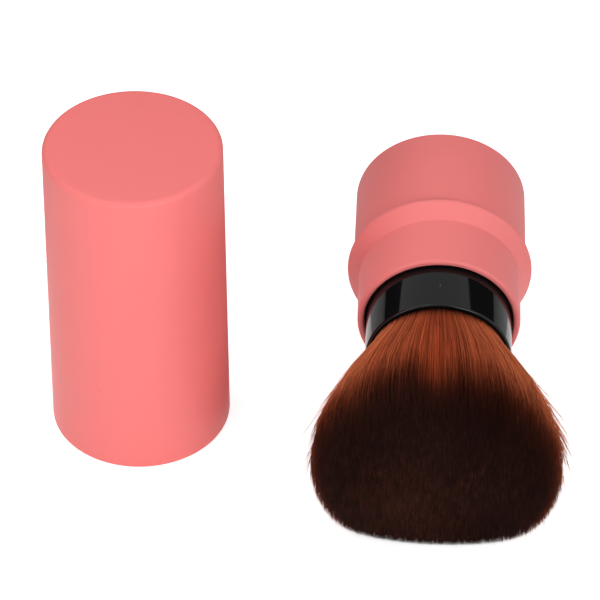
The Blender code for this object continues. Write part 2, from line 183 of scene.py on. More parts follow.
class Graph:
    """The nodes of one material or of the world."""

    def __init__(self, tree: bpy.types.NodeTree) -> None:
        """Keeps the node tree that it adds to."""
        self.tree = tree

    def add(
        self,
        kind: str,
        settings: Mapping[str, object] | None = None,
        sockets: Mapping[object, object] | None = None,
        output: int | str = 0,
    ) -> Wire:
        """Adds one node.

        Args:
            kind: the node's type.
            settings: its properties, set first. "stops" holds a ramp's (place, colour) pairs.
            sockets: values or wires for its inputs, by name or number.
            output: the output that is wanted.

        Returns:
            The wire of that output.
        """
        node = self.tree.nodes.new(kind)
        for name, value in (settings or {}).items():
            if name == "stops":
                self._set_stops(node.color_ramp, value)
            else:
                setattr(node, name, value)
        for name, value in (sockets or {}).items():
            if isinstance(value, Wire):
                self.tree.links.new(value.socket, node.inputs[name])
            else:
                node.inputs[name].default_value = value
        return Wire(self, node.outputs[output])

    def _set_stops(self, ramp: bpy.types.ColorRamp, stops: Sequence[tuple[float, Colour]]) -> None:
        """Sets a ramp's stops.

        Args:
            ramp: the ramp.
            stops: its (place, colour) pairs.
        """
        while len(ramp.elements) < len(stops):
            ramp.elements.new(1.0)
        for element, (place, colour) in zip(ramp.elements, stops):
            element.position = place
            element.color = opaque(colour)

    def spot(self) -> Wire:
        """The place on the piece, in metres in the piece's own frame."""
        return self.add("ShaderNodeTexCoord", output="Object")

    def noise(self, spot: Wire, grain: float, detail: float = 2.0) -> Wire:
        """Noise from 0 to 1 whose lumps are about grain metres wide."""
        sockets = {"Vector": spot, "Scale": 1 / grain, "Detail": detail}
        return self.add("ShaderNodeTexNoise", {"noise_dimensions": "3D"}, sockets)

    def stretched(self, spot: Wire, scale: Place) -> Wire:
        """A place scaled by its own share along each axis."""
        return self.add("ShaderNodeVectorMath", {"operation": "MULTIPLY"}, {0: spot, 1: scale})

    def distance(self, spot: Wire) -> Wire:
        """How far a place is from the middle."""
        return self.add("ShaderNodeVectorMath", {"operation": "LENGTH"}, {0: spot}, "Value")

    def nearness(self, spot: Wire, centre: Place, reach: Place) -> Wire:
        """A mask round a place.

        Args:
            spot: the place on the piece.
            centre: where the mask is 1.
            reach: how far from there it has fallen to 0, along each axis.

        Returns:
            The mask.
        """
        away = self.add("ShaderNodeVectorMath", {"operation": "SUBTRACT"}, {0: spot, 1: centre})
        away = self.stretched(away, [1 / length for length in reach])
        return 1 - self.distance(away).between(0.0, 1.0)

    def grey(self, level: Wire) -> Wire:
        """A grey of this level."""
        return self.add("ShaderNodeCombineColor", {}, {0: level, 1: level, 2: level})

    def mix(self, factor: Operand, first: object, second: object) -> Wire:
        """A colour from first, at factor 0, to second, at factor 1."""
        sockets = {"Factor": factor, MIX_FIRST: first, MIX_SECOND: second}
        return self.add("ShaderNodeMix", {"data_type": "RGBA"}, sockets, MIX_RESULT)

    def shaded(self, colour: object, level: Wire) -> Wire:
        """A colour made darker or lighter by a level round 1."""
        sockets = {"Factor": 1.0, MIX_FIRST: colour, MIX_SECOND: self.grey(level)}
        return self.add("ShaderNodeMix", {"data_type": "RGBA", "blend_type": "MULTIPLY"}, sockets, MIX_RESULT)

    def bump(self, height: Wire, depth: float) -> Wire:
        """A normal from a height of 0 to 1, which stands for depth metres."""
        sockets = {"Height": height, "Distance": depth, "Strength": 1.0}
        return self.add("ShaderNodeBump", {}, sockets)


class Paint(Graph):
    """A material with one Principled shader."""

    def __init__(self, name: str, **constants: object) -> None:
        """Starts a material.

        Args:
            name: the material's name.
            constants: values that are the same all over, by the shader's socket, with _ for " ".
        """
        self.material = bpy.data.materials.new(name)
        self.material.use_nodes = True
        super().__init__(self.material.node_tree)
        self.shader = self.tree.nodes["Principled BSDF"]
        for socket, value in constants.items():
            self.shader.inputs[socket.replace("_", " ")].default_value = value

    def set(self, socket: str, value: Wire) -> None:
        """Feeds one of the shader's sockets."""
        self.tree.links.new(value.socket, self.shader.inputs[socket])

    def dress(
        self, colour: Colour, level: Wire, roughness: Wire, relief: Wire, depth: float
    ) -> bpy.types.Material:
        """Finishes the material with a colour, a roughness and a relief.

        Args:
            colour: the base colour.
            level: how much darker or lighter it is from place to place, round 1.
            roughness: the roughness.
            relief: the relief's height, from 0 to 1.
            depth: the metres that a height of 1 stands for.

        Returns:
            The material.
        """
        self.set("Base Color", self.shaded(opaque(colour), level))
        self.set("Roughness", roughness)
        self.set("Normal", self.bump(relief, depth))
        return self.material


def opaque(colour: Colour) -> tuple[float, float, float, float]:
    """A colour with full alpha, as a socket wants it."""
    return (*colour, 1.0)


@dataclass(frozen=True)
class Mark:
    """A small rubbed place on a piece, in the piece's own frame."""

    centre: Place
    reach: Place  # along each axis


@dataclass(frozen=True)
class SoftTouch:
    """Moulded plastic under a rubbery matt coat, with a fine even grain."""

    colour: Colour = (0.83, 0.180, 0.172)
    slot: Slot = Slot.SOFT_TOUCH
    grain: float = 0.16 * MM
    grain_depth: float = 0.004 * MM
    mottle: float = 9.0 * MM
    levels: Span = (0.985, 1.015)
    roughness: Span = (0.50, 0.60)
    scuff_shade: float = 0.10

    def material(self, *scuffs: Mark) -> bpy.types.Material:
        """The finish as a material.

        Args:
            scuffs: its faint rubbed marks.

        Returns:
            The material.
        """
        paint = Paint("soft_touch_coat", Specular_IOR_Level=0.42, Sheen_Weight=0.06, Sheen_Roughness=0.4)
        spot = paint.spot()
        mottle = paint.noise(spot, self.mottle)
        grain = paint.noise(spot, self.grain)
        level = mottle.spread(self.levels)
        for scuff in scuffs:
            level = level - paint.nearness(spot, scuff.centre, scuff.reach) * self.scuff_shade
        roughness = ((mottle + grain) / 2).spread(self.roughness)
        return paint.dress(self.colour, level, roughness, grain, self.grain_depth)


@dataclass(frozen=True)
class MouldedPlastic:
    """Bare moulded plastic, with the fine rings of its turned mould."""

    name: str
    colour: Colour
    roughness: float
    slot: Slot
    roughness_swing: float = 0.04
    ring: float = 0.25 * MM
    ring_stretch: Place = (0.03, 0.03, 1.0)
    ring_depth: float = 0.003 * MM
    cloud: float = 6.0 * MM
    levels: Span = (0.96, 1.04)

    def material(self) -> bpy.types.Material:
        """The finish as a material.

        Returns:
            The material.
        """
        paint = Paint(self.name)
        spot = paint.spot()
        rings = paint.noise(paint.stretched(spot, self.ring_stretch), self.ring)
        level = paint.noise(spot, self.cloud).spread(self.levels)
        swing = self.roughness_swing
        roughness = rings.spread((self.roughness - swing, self.roughness + swing))
        return paint.dress(self.colour, level, roughness, rings, self.ring_depth)


@dataclass(frozen=True)
class GlossBlack:
    """Polished black plastic, with hairline scratches and a slight orange peel."""

    colour: Colour = (0.0045, 0.0045, 0.0050)
    worn_colour: Colour = (0.10, 0.10, 0.11)
    slot: Slot = Slot.GLOSS
    roughness: float = 0.06
    scratch: float = 0.12 * MM
    scratch_stretch: Place = (0.05, 0.05, 1.0)
    scratch_edge: Span = (0.62, 0.75)  # of the noise
    scratch_tint: float = 0.04
    scratch_roughness: float = 0.05
    nick_tint: float = 0.5
    nick_roughness: float = 0.30
    peel: float = 1.4 * MM
    peel_depth: float = 0.0015 * MM

    def material(self, nick: Mark) -> bpy.types.Material:
        """The finish as a material.

        Args:
            nick: a small rubbed nick.

        Returns:
            The material.
        """
        paint = Paint("gloss_black_plastic", Specular_IOR_Level=0.19)
        spot = paint.spot()
        scratches = paint.noise(paint.stretched(spot, self.scratch_stretch), self.scratch, detail=4.0)
        scratched = scratches.between(*self.scratch_edge)
        nicked = paint.nearness(spot, nick.centre, nick.reach)
        tint = nicked * self.nick_tint + scratched * self.scratch_tint
        paint.set("Base Color", paint.mix(tint, opaque(self.colour), opaque(self.worn_colour)))
        roughness = self.roughness + scratched * self.scratch_roughness
        paint.set("Roughness", roughness + nicked * self.nick_roughness)
        paint.set("Normal", paint.bump(paint.noise(spot, self.peel, detail=1.0), self.peel_depth))
        return paint.material


@dataclass(frozen=True)
class PlatedSteel:
    """Zinc-plated steel, with the cloudy spangle of its plating."""

    colour: Colour = (0.55, 0.56, 0.58)
    slot: Slot = Slot.STEEL
    cloud: float = 0.8 * MM
    levels: Span = (0.85, 1.15)
    roughness: Span = (0.22, 0.40)
    grain: float = 0.1 * MM
    grain_depth: float = 0.003 * MM

    def material(self) -> bpy.types.Material:
        """The finish as a material.

        Returns:
            The material.
        """
        paint = Paint("zinc_plate", Metallic=1.0)
        spot = paint.spot()
        cloud = paint.noise(spot, self.cloud)
        grain = paint.noise(spot, self.grain)
        level, roughness = cloud.spread(self.levels), cloud.spread(self.roughness)
        return paint.dress(self.colour, level, roughness, grain, self.grain_depth)


@dataclass(frozen=True)
class Rubber:
    """Dull grey rubber with a dusty bloom."""

    colour: Colour = (0.05, 0.05, 0.05)
    slot: Slot = Slot.RUBBER
    bloom: float = 0.7 * MM
    bloom_depth: float = 0.01 * MM
    levels: Span = (0.7, 1.3)
    roughness: Span = (0.70, 0.90)

    def material(self) -> bpy.types.Material:
        """The finish as a material.

        Returns:
            The material.
        """
        paint = Paint("ring_rubber")
        bloom = paint.noise(paint.spot(), self.bloom, detail=4.0)
        level, roughness = bloom.spread(self.levels), bloom.spread(self.roughness)
        return paint.dress(self.colour, level, roughness, bloom, self.bloom_depth)


@dataclass(frozen=True)
class SetGlue:
    """Amber glue that has set with small bubbles in it."""

    colour: Colour = (0.45, 0.33, 0.16)
    slot: Slot = Slot.GLUE
    cloud: float = 2.5 * MM
    levels: Span = (0.85, 1.15)
    roughness: Span = (0.25, 0.40)
    bubble_spacing: float = 1.6 * MM
    bubble_edge: Span = (0.10, 0.28)  # of the spacing
    bubble_shade: float = 0.15
    bubble_depth: float = 0.15 * MM

    def material(self) -> bpy.types.Material:
        """The finish as a material.

        Returns:
            The material.
        """
        paint = Paint("set_glue", Coat_Weight=0.3)
        spot = paint.spot()
        sockets = {"Vector": spot, "Scale": 1 / self.bubble_spacing}
        cells = paint.add("ShaderNodeTexVoronoi", {"feature": "F1"}, sockets)
        solid = cells.between(*self.bubble_edge)
        cloud = paint.noise(spot, self.cloud)
        level = cloud.spread(self.levels) - (1 - solid) * self.bubble_shade
        return paint.dress(self.colour, level, cloud.spread(self.roughness), solid, self.bubble_depth)


@dataclass(frozen=True)
class DippedHair:
    """Synthetic bristles, orange-brown from the root, dipped nearly black, paler at the very tip.

    A bristle's map runs from root to tip in U. In V each mix of warmth and shade has its own band.
    The tables hold heights in millimetres.
    """

    slot: Slot = Slot.HAIR
    map_name: str = "hair_lay"
    map_heights: Span = (50 * MM, 105 * MM)
    warmths: int = 6
    shades: int = 8
    levels: Span = (0.6, 1.4)  # of the colours, from the darkest shade to the palest
    # The roots run from cool to warm; warm is mostly at the head's sides, as painted light.
    cool_root: Colour = (0.515, 0.086, 0.0275)
    warm_root: Colour = (0.765, 0.228, 0.097)
    dye: Colour = (0.0155, 0.0046, 0.0032)
    # The tips: paler fibre ends, partly painted glints on them.
    deep_tip: Colour = (0.010, 0.0030, 0.0020)
    pale_tip: Colour = (0.135, 0.041, 0.025)
    pale_tip_power: float = 3  # the higher, the fewer tips are pale

    # How much of the root's colour shows, by the ferrule's mouth and in the dye, and of the tip's. By the
    # mouth the roots are darkened with painted shade of the ferrule's lip.
    lip_shade_shares: Table = ((54.6, 0.06), (55.7, 0.20), (56.8, 0.50), (58.0, 0.76), (59.4, 0.94), (75, 1.0))
    dye_shares: Table = ((80, 0.66), (83.3, 0.37), (86, 0.175), (89, 0.065), (93, 0.015), (96, 0.0))
    # Painted light: the tips grow paler towards the middle of the dome's face.
    tip_light_shares: Table = ((92.5, 0.0), (98, 1.0))

    @property
    def tone_bands(self) -> int:
        """How many bands the map's V is split into."""
        return self.warmths * self.shades

    def along(self, height: np.ndarray) -> np.ndarray:
        """The map's U at a height over the barrel's end."""
        first, last = self.map_heights
        return np.clip((height - first) / (last - first), 0, 1)

    def ramp(self, graph: Graph, along: Wire, shares: Table) -> Wire:
        """A share that changes along the bristle, by (height in millimetres, share) pairs."""
        stops = [(float(self.along(np.array(height * MM))), (share,) * 3) for height, share in shares]
        return graph.add("ShaderNodeValToRGB", {"stops": stops}, {"Fac": along})

    def material(self) -> bpy.types.Material:
        """The finish of the bristles, which reads only their map.

        Returns:
            The material.
        """
        paint = Paint("dipped_bristles", Roughness=0.6, Specular_IOR_Level=0.08)
        place = paint.add("ShaderNodeUVMap", {"uv_map": self.map_name})
        along, across = [paint.add("ShaderNodeSeparateXYZ", {}, {0: place}, axis) for axis in (0, 1)]
        band = (across * self.tone_bands).floored()
        warmth = (band / self.shades).floored()
        shade = (band - warmth * self.shades) / (self.shades - 1)
        level = shade.spread(self.levels)
        # By the mouth, painted shade of the ferrule's lip; farther out, the dye's edge.
        undyed = self.ramp(paint, along, self.lip_shade_shares + self.dye_shares)
        warm_share = warmth * undyed / (self.warmths - 1)
        root = paint.mix(warm_share, opaque(self.cool_root), opaque(self.warm_root))
        dyed = paint.shaded(opaque(self.dye), level)
        tip = paint.mix(shade**self.pale_tip_power, opaque(self.deep_tip), opaque(self.pale_tip))
        dark = paint.mix(self.ramp(paint, along, self.tip_light_shares), dyed, tip)
        paint.set("Base Color", paint.mix(undyed, dark, paint.shaded(root, level)))
        return paint.material


@dataclass(frozen=True)
class Axis:
    """The line that a piece is turned about: where its height is 0, and its tilt about X."""

    origin: Vector
    tilt: float

    def matrix(self) -> Matrix:
        """From the piece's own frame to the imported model's."""
        return Matrix.Translation(self.origin) @ Matrix.Rotation(self.tilt, 4, "X")


def rounded(corners: Sequence[tuple[float, float, float]]) -> Outline:
    """An outline with rounded corners.

    Args:
        corners: (radius, height, fillet) of each corner.

    Returns:
        The outline's points.
    """
    points: Outline = []
    for place, (radius, height, fillet) in enumerate(corners):
        corner = Vector((radius, height))
        if fillet == 0:
            points.append((radius, height))
            continue
        back = (Vector(corners[place - 1][:2]) - corner).normalized()
        ahead = (Vector(corners[(place + 1) % len(corners)][:2]) - corner).normalized()
        half = back.angle(ahead) / 2
        centre = corner + (back + ahead).normalized() * fillet / math.sin(half)
        start = corner + back * fillet / math.tan(half) - centre
        end = corner + ahead * fillet / math.tan(half) - centre
        sweep = math.copysign(start.angle(end), start.cross(end))
        for step in range(FILLET_STEPS + 1):
            points.append(tuple(centre + Matrix.Rotation(sweep * step / FILLET_STEPS, 2) @ start))
    return points


def turned(name: str, outline: Outline) -> bpy.types.Mesh:
    """A closed mesh turned about Z.

    Args:
        name: the mesh's name.
        outline: (radius, height) points, which close on themselves or start and end on the axis.

    Returns:
        The mesh, with its faces pointing out.
    """
    bm = bmesh.new()
    rows = []
    for radius, height in outline:
        steps = 1 if radius < ON_AXIS else ROUND_SEGMENTS
        angles = [math.tau * step / steps for step in range(steps)]
        ring = [(radius * math.cos(angle), radius * math.sin(angle), height) for angle in angles]
        rows.append([bm.verts.new(point) for point in ring])
    closed = outline[0][0] >= ON_AXIS
    for below, above in zip(rows, rows[1:] + rows[:1] if closed else rows[1:]):
        for step in range(ROUND_SEGMENTS):
            after = step + 1
            loop = [
                below[step % len(below)],
                below[after % len(below)],
                above[after % len(above)],
                above[step % len(above)],
            ]
            bm.faces.new(list(dict.fromkeys(loop)))
    bmesh.ops.recalc_face_normals(bm, faces=bm.faces)
    mesh = bpy.data.meshes.new(name)
    bm.to_mesh(mesh)
    bm.free()
    mesh.shade_smooth()
    mesh.set_sharp_from_angle(angle=SHARP_ANGLE)
    return mesh


def put(name: str, data: bpy.types.ID) -> bpy.types.Object:
    """Puts something into the scene.

    Args:
        name: the new object's name.
        data: its mesh, lamp or camera.

    Returns:
        The object.
    """
    thing = bpy.data.objects.new(name, data)
    bpy.context.scene.collection.objects.link(thing)
    return thing


def facing(place: Place, aim: Place) -> Euler:
    """The turn with which a lamp or camera at place looks at aim."""
    return (Vector(aim) - Vector(place)).to_track_quat("-Z", "Y").to_euler()


def place_piece(
    name: str,
    mesh: bpy.types.Mesh,
    axis: Axis,
    body: Body,
    material: bpy.types.Material,
    stands_for: Sequence[str] = (),
) -> bpy.types.Object:
    """Puts a mesh on its axis as a piece of the object.

    Args:
        name: the piece's name.
        mesh: its mesh, in its own frame.
        axis: where that frame lies.
        body: the body that it rides on.
        material: its finish.
        stands_for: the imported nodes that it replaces.

    Returns:
        The piece.
    """
    piece = put(name, mesh)
    mesh.materials.append(material)
    piece.matrix_world = axis.matrix()
    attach(piece, body.value)
    if stands_for:
        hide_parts(*stands_for)
    log.info("%s: %d faces, rides on %s", name, len(mesh.polygons), body.value)
    return piece


@dataclass(frozen=True)
class Panel:
    """A rectangular soft light, which faces the object."""

    name: str
    place: Place
    size: Place  # width and height
    power: float  # in watts
    shows_in_gloss: bool = True

    def hang(self, aim: Place) -> None:
        """Puts the light in the studio.

        Args:
            aim: the point that it faces.
        """
        light = bpy.data.lights.new(self.name, "AREA")
        light.shape = "RECTANGLE"
        light.size, light.size_y = self.size
        light.energy = self.power
        lamp = put(self.name, light)
        lamp.location = self.place
        lamp.rotation_euler = facing(self.place, aim)
        lamp.visible_camera = False
        lamp.visible_glossy = self.shows_in_gloss


@dataclass(frozen=True)
class Studio:
    """The table, the light and the camera."""

    camera_place: Place = (22.51 * MM, -665.47 * MM, 633.4 * MM)
    camera_aim: Place = (-2.39 * MM, 35.83 * MM, 0.0)
    focal_length: float = 243.3  # in the camera's own millimetres, on a 36 mm sensor
    clip_start: float = 0.01
    clip_end: float = 50.0

    floor_side: float = 24.0
    floor_drop: float = 0.05 * MM
    floor_colour: Colour = (0.90, 0.90, 0.90)
    floor_glow: float = 0.62
    lamplit: Span = (0.25, 1.1)  # how far from the middle the lamps' light thins out
    ambient: float = 0.06

    card_lift: float = 0.2 * MM
    card_half: float = 1.08
    card_far: float = 0.9
    card_near: float = 0.04
    black_card_tops: Span = (0.4347, 0.7416)  # left and right
    black_card: Colour = (0.02, 0.02, 0.02)
    pale_card: Colour = (0.72, 0.72, 0.72)
    # A red card right beside the cap, seen only in gloss: painted reflection and painted shade on the cap's
    # side towards the brush.
    red_reflection_card: Colour = (1.0, 0.06, 0.04)
    red_card_side: float = -14.5 * MM
    red_card_reach: float = 22 * MM
    red_card_top: float = 60 * MM

    light_aim: Place = (0.0, 0.0, 0.03)
    panels: tuple[Panel, ...] = (
        Panel("front_left_panel", (-0.40, -0.45, 0.30), (0.3, 0.3), 1.0),
        Panel("front_right_panel", (0.50, -0.75, 0.55), (0.5, 0.5), 5.0),
        Panel("low_front_panel", (0.0, -1.0, 0.20), (0.8, 0.4), 2.6),
        Panel("right_panel", (0.95, 0.0, 0.45), (0.6, 0.6), 1.0),
        Panel("top_panel", (0.0, 0.0, 1.0), (0.8, 0.8), 1.8),
        Panel("top_left_panel", (-0.20, 0.05, 0.45), (0.3, 0.3), 0.55),
        Panel("back_panel", (-0.10, 1.0, 0.95), (1.8, 1.0), 6.0, shows_in_gloss=False),
    )

    def set_camera(self) -> None:
        """The photograph's view."""
        lens = bpy.data.cameras.new("camera")
        lens.lens = self.focal_length
        lens.clip_start = self.clip_start
        lens.clip_end = self.clip_end
        camera = put("camera", lens)
        camera.location = self.camera_place
        camera.rotation_euler = facing(self.camera_place, self.camera_aim)
        bpy.context.scene.camera = camera

    def looked_at(self, graph: Graph) -> Wire:
        """A mask for what the camera sees, straight or by way of gloss or glass.

        Args:
            graph: the graph that asks.

        Returns:
            1 for such a ray, and otherwise 0.
        """
        kinds = ("Is Camera Ray", "Is Glossy Ray", "Is Transmission Ray")
        straight, gloss, glass = [graph.add("ShaderNodeLightPath", output=kind) for kind in kinds]
        return straight + gloss + glass

    def lay_flat(self, name: str, corners: Sequence[Place], paint: Paint) -> bpy.types.Object:
        """Adds one flat face, which isn't part of the object.

        Args:
            name: its name.
            corners: its corners in order.
            paint: its material.

        Returns:
            The face as an object.
        """
        mesh = bpy.data.meshes.new(name)
        mesh.from_pydata(corners, [], [tuple(range(len(corners)))])
        mesh.materials.append(paint.material)
        face = put(name, mesh)
        return face

    def lay_floor(self) -> None:
        """A plain white table top, which the camera sees as white away from the shadows."""
        side, low = self.floor_side / 2, -self.floor_drop
        corners = [(-side, -side, low), (side, -side, low), (side, side, low), (-side, side, low)]
        paint = Paint("table_white", Roughness=0.9, Specular_IOR_Level=0.0, Emission_Strength=1.0)
        paint.shader.inputs["Base Color"].default_value = opaque(self.floor_colour)
        away = paint.distance(paint.spot()).between(*self.lamplit)
        paint.set("Emission Color", paint.grey(self.looked_at(paint) * away.spread((self.floor_glow, 1.0))))
        self.lay_flat("table_top", corners, paint)

    def add_card(self, name: str, corners: Sequence[Place], colour: Colour) -> None:
        """A plain card that shows only in gloss.

        Args:
            name: the card's name.
            corners: its corners in order.
            colour: its colour.
        """
        paint = Paint(name, Roughness=1.0, Specular_IOR_Level=0.0)
        paint.shader.inputs["Base Color"].default_value = opaque(colour)
        card = self.lay_flat(name, corners, paint)
        card.visible_camera = False
        card.visible_diffuse = False
        card.visible_transmission = False
        card.visible_shadow = False

    def set_cards(self) -> None:
        """A black card far behind with a slanting top, a pale one on the table before it, and a
        red one that stands beside the cap, towards the brush, to put a painted red reflection and shade on
        the cap's side there."""
        half, near, far, low = self.card_half, self.card_near, self.card_far, self.card_lift
        left, right = self.black_card_tops
        corners = [(-half, far, low), (half, far, low), (half, far, right), (-half, far, left)]
        self.add_card("black_card", corners, self.black_card)
        corners = [(-half, near, low), (half, near, low), (half, far, low), (-half, far, low)]
        self.add_card("pale_card", corners, self.pale_card)
        side, reach, top = self.red_card_side, self.red_card_reach, self.red_card_top
        corners = [(side, -reach, low), (side, reach, low), (side, reach, top), (side, -reach, top)]
        self.add_card("red_reflection_card", corners, self.red_reflection_card)

    def set_world(self) -> None:
        """The pale room, which the camera sees as white."""
        world = bpy.data.worlds.new("room")
        bpy.context.scene.world = world
        world.use_nodes = True
        graph = Graph(world.node_tree)
        grey = graph.grey(self.looked_at(graph).spread((self.ambient, 1.0)))
        graph.tree.links.new(grey.socket, graph.tree.nodes["Background"].inputs["Color"])

    def build(self) -> None:
        """Sets the whole studio."""
        bpy.context.scene.view_settings.view_transform = "Standard"
        self.set_camera()
        self.lay_floor()
        self.set_world()
        self.set_cards()
        for panel in self.panels:
            panel.hang(self.light_aim)
        log.info("studio: camera %.0f mm from the origin", Vector(self.camera_place).length / MM)


@dataclass(frozen=True)
class Cap:
    """The push-on cap, standing on its mouth."""

    finish: SoftTouch = SoftTouch()
    top_thickness: float = 1.8 * MM
    wall: float = 1.58 * MM
    draft: float = 0.55 * MM
    top_round: float = 1.3 * MM
    mouth_round: float = 0.3 * MM
    inside_round: float = 1.5 * MM
    scuff: Mark = Mark((-7.5 * MM, -17.6 * MM, 21.6 * MM), (1.5 * MM, 3.0 * MM, 0.45 * MM))

    def outline(self, radius: float, height: float) -> Outline:
        """The cap's section.

        Args:
            radius: outside, at the mouth.
            height: of the closed top.

        Returns:
            The outline's points.
        """
        bore = radius - self.wall
        depth = height - self.top_thickness
        return rounded(
            [
                (0, height, 0),
                (radius - self.draft, height, self.top_round),
                (radius, 0, self.mouth_round),
                (bore, 0, self.mouth_round),
                (bore - self.draft, depth, self.inside_round),
                (0, depth, 0),
            ]
        )

    def build(self) -> None:
        """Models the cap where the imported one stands."""
        low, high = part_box("cap_shell")
        axis = Axis(Vector(((low.x + high.x) / 2, (low.y + high.y) / 2, low.z)), 0.0)
        radius = (high.x - low.x) / 2
        mesh = turned("cap", self.outline(radius, high.z - low.z))
        material = self.finish.material(self.scuff)
        place_piece("cap", mesh, axis, Body.CAP, material, ["cap_shell"])


@dataclass(frozen=True)
class Handle:
    """The barrel, the collar that slides in it and the ferrule that the collar slides over."""

    axis: Axis
    # The handle's coat is a paler, greyer copy of the cap's: painted sheen for the grey veil on the handle's
    # faces.
    coat: SoftTouch = SoftTouch(colour=(0.80, 0.194, 0.188))  # a little paler than the cap's
    tube_plastic: MouldedPlastic = MouldedPlastic("plain_pink_plastic", (0.66, 0.14, 0.13), 0.40, Slot.PLAIN)
    core_plastic: MouldedPlastic = MouldedPlastic(
        "black_plastic", (0.02, 0.02, 0.022), 0.45, Slot.BLACK_PLASTIC
    )
    ferrule_plastic: GlossBlack = GlossBlack()

    barrel_draft: float = 0.16 * MM
    barrel_floor: float = 1.8 * MM
    barrel_end_round: float = 0.6 * MM
    barrel_mouth_round: float = 0.25 * MM
    barrel_floor_round: float = 0.4 * MM

    collar_wall: float = 1.57 * MM
    collar_rim_round: float = 0.7 * MM
    running_gap: float = 0.4 * MM
    crest_setback: float = 1.1 * MM
    crest_round: float = 1.2 * MM
    ridge_front_slope: float = math.radians(37.5)
    ridge_rear_slope: float = math.radians(50)
    ridge_rear_round: float = 0.2 * MM
    ridge_root_round: float = 0.5 * MM

    slide_gap: float = 0.3 * MM
    seat_gap: float = 0.3 * MM
    slide_tube_wall: float = 1.2 * MM
    slide_tube_socket: float = 2.9 * MM
    slide_tube_round: float = 0.2 * MM
    stop_lip_depth: float = 1.2 * MM
    stop_lip_length: float = 1.2 * MM

    ferrule_wall: float = 1.2 * MM
    ferrule_lip_round: float = 0.5 * MM
    nick_setback: float = 6.5 * MM
    nick_reach: Place = (0.25 * MM, 0.6 * MM, 0.8 * MM)

    def span(self, node: str) -> tuple[float, float, float]:
        """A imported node's radius, and its rear and front heights along the brush."""
        low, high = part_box(node)
        return ((high.x - low.x) / 2, self.axis.origin.y - high.y, self.axis.origin.y - low.y)

    def barrel(self) -> None:
        """The barrel: a cup with its closed end away from the bristles."""
        radius, _, length = self.span("base_cup")
        bore = self.span("slide_tube")[0] + self.slide_gap
        outline = rounded(
            [
                (0, 0, 0),
                (radius - self.barrel_draft, 0, self.barrel_end_round),
                (radius, length, self.barrel_mouth_round),
                (bore, length, self.barrel_mouth_round),
                (bore, self.barrel_floor, self.barrel_floor_round),
                (0, self.barrel_floor, 0),
            ]
        )
        self._place("barrel", outline, Body.BRUSH, self.coat, "base_cup")

    def collar(self) -> None:
        """The collar and its ridge, turned in one."""
        radius, rear, rim = self.span("sleeve_collar")
        bore = self.span("ferrule_cup")[0] + self.running_gap
        outside = bore + self.collar_wall
        socket = self.span("slide_tube")[0] + self.seat_gap
        socket_end = rear + self.slide_tube_socket + self.seat_gap
        crest = rear + self.crest_setback
        centre = radius - self.crest_round

        def crest_point(angle: float) -> tuple[float, float]:
            """(radius, height) of the crest where its surface faces angle forwards."""
            out = centre + self.crest_round * math.cos(angle)
            return (out, crest + self.crest_round * math.sin(angle))

        front_radius, front_height = crest_point(self.ridge_front_slope)
        root = front_height + (front_radius - outside) / math.tan(self.ridge_front_slope)
        rear_radius, rear_height = crest_point(-self.ridge_rear_slope)
        rear_radius -= (rear_height - rear) * math.tan(self.ridge_rear_slope)
        corners = [(socket, rear, 0), (rear_radius, rear, self.ridge_rear_round)]
        steps = 2 * FILLET_STEPS
        for step in range(steps + 1):
            turn = step / steps * (self.ridge_front_slope + self.ridge_rear_slope)
            corners.append((*crest_point(turn - self.ridge_rear_slope), 0))
        corners += [
            (outside, root, self.ridge_root_round),
            (outside, rim, self.collar_rim_round),
            (bore, rim, self.collar_rim_round),
            (bore, socket_end, 0),
            (socket, socket_end, 0),
        ]
        self._place("collar", rounded(corners), Body.SLEEVE, self.coat, "sleeve_collar")

    def slide_tube(self) -> None:
        """The tube behind the collar, with the lip that stops it on the core."""
        radius, rear, front = self.span("slide_tube")
        bore = radius - self.slide_tube_wall
        lip = bore - self.stop_lip_depth
        lip_front = rear + self.stop_lip_length
        corners = [(lip, rear), (radius, rear), (radius, front)]
        corners += [(bore, front), (bore, lip_front), (lip, lip_front)]
        outline = rounded([(*corner, self.slide_tube_round) for corner in corners])
        self._place("telescoping_tube", outline, Body.SLEEVE, self.tube_plastic, "slide_tube")

    def ferrule(self) -> None:
        """The gloss black ferrule with its rounded lip."""
        radius, rear, mouth = self.span("ferrule_cup")
        bore = radius - self.ferrule_wall
        lip = self.ferrule_lip_round
        outline = rounded([(bore, rear, 0), (radius, rear, 0), (radius, mouth, lip), (bore, mouth, lip)])
        nick = Mark((0.0, radius, mouth - self.nick_setback), self.nick_reach)
        self._place("ferrule", outline, Body.BRUSH, self.ferrule_plastic, "ferrule_cup", nick)

    def _place(
        self,
        name: str,
        outline: Outline,
        body: Body,
        finish: Union[SoftTouch, MouldedPlastic, GlossBlack],
        node: str,
        *marks: Mark,
    ) -> None:
        """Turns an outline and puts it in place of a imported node."""
        mesh = turned(name, outline)
        place_piece(name, mesh, self.axis, body, finish.material(*marks), [node])

    def dress_inside(self, nodes: Mapping[str, bpy.types.Object]) -> None:
        """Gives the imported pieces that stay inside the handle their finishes.

        Args:
            nodes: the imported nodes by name.
        """
        finishes = {
            "core_tube": self.core_plastic,
            "core_screw": PlatedSteel(),
            "friction_ring": Rubber(),
            "glue_puck": SetGlue(),
        }
        for node, finish in finishes.items():
            nodes[node].material_slots[0].material = finish.material()
            log.info("%s: packed node with its own finish", node)

    def build(self, nodes: Mapping[str, bpy.types.Object]) -> None:
        """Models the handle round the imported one.

        Args:
            nodes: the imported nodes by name.
        """
        self.barrel()
        self.collar()
        self.slide_tube()
        self.ferrule()
        self.dress_inside(nodes)


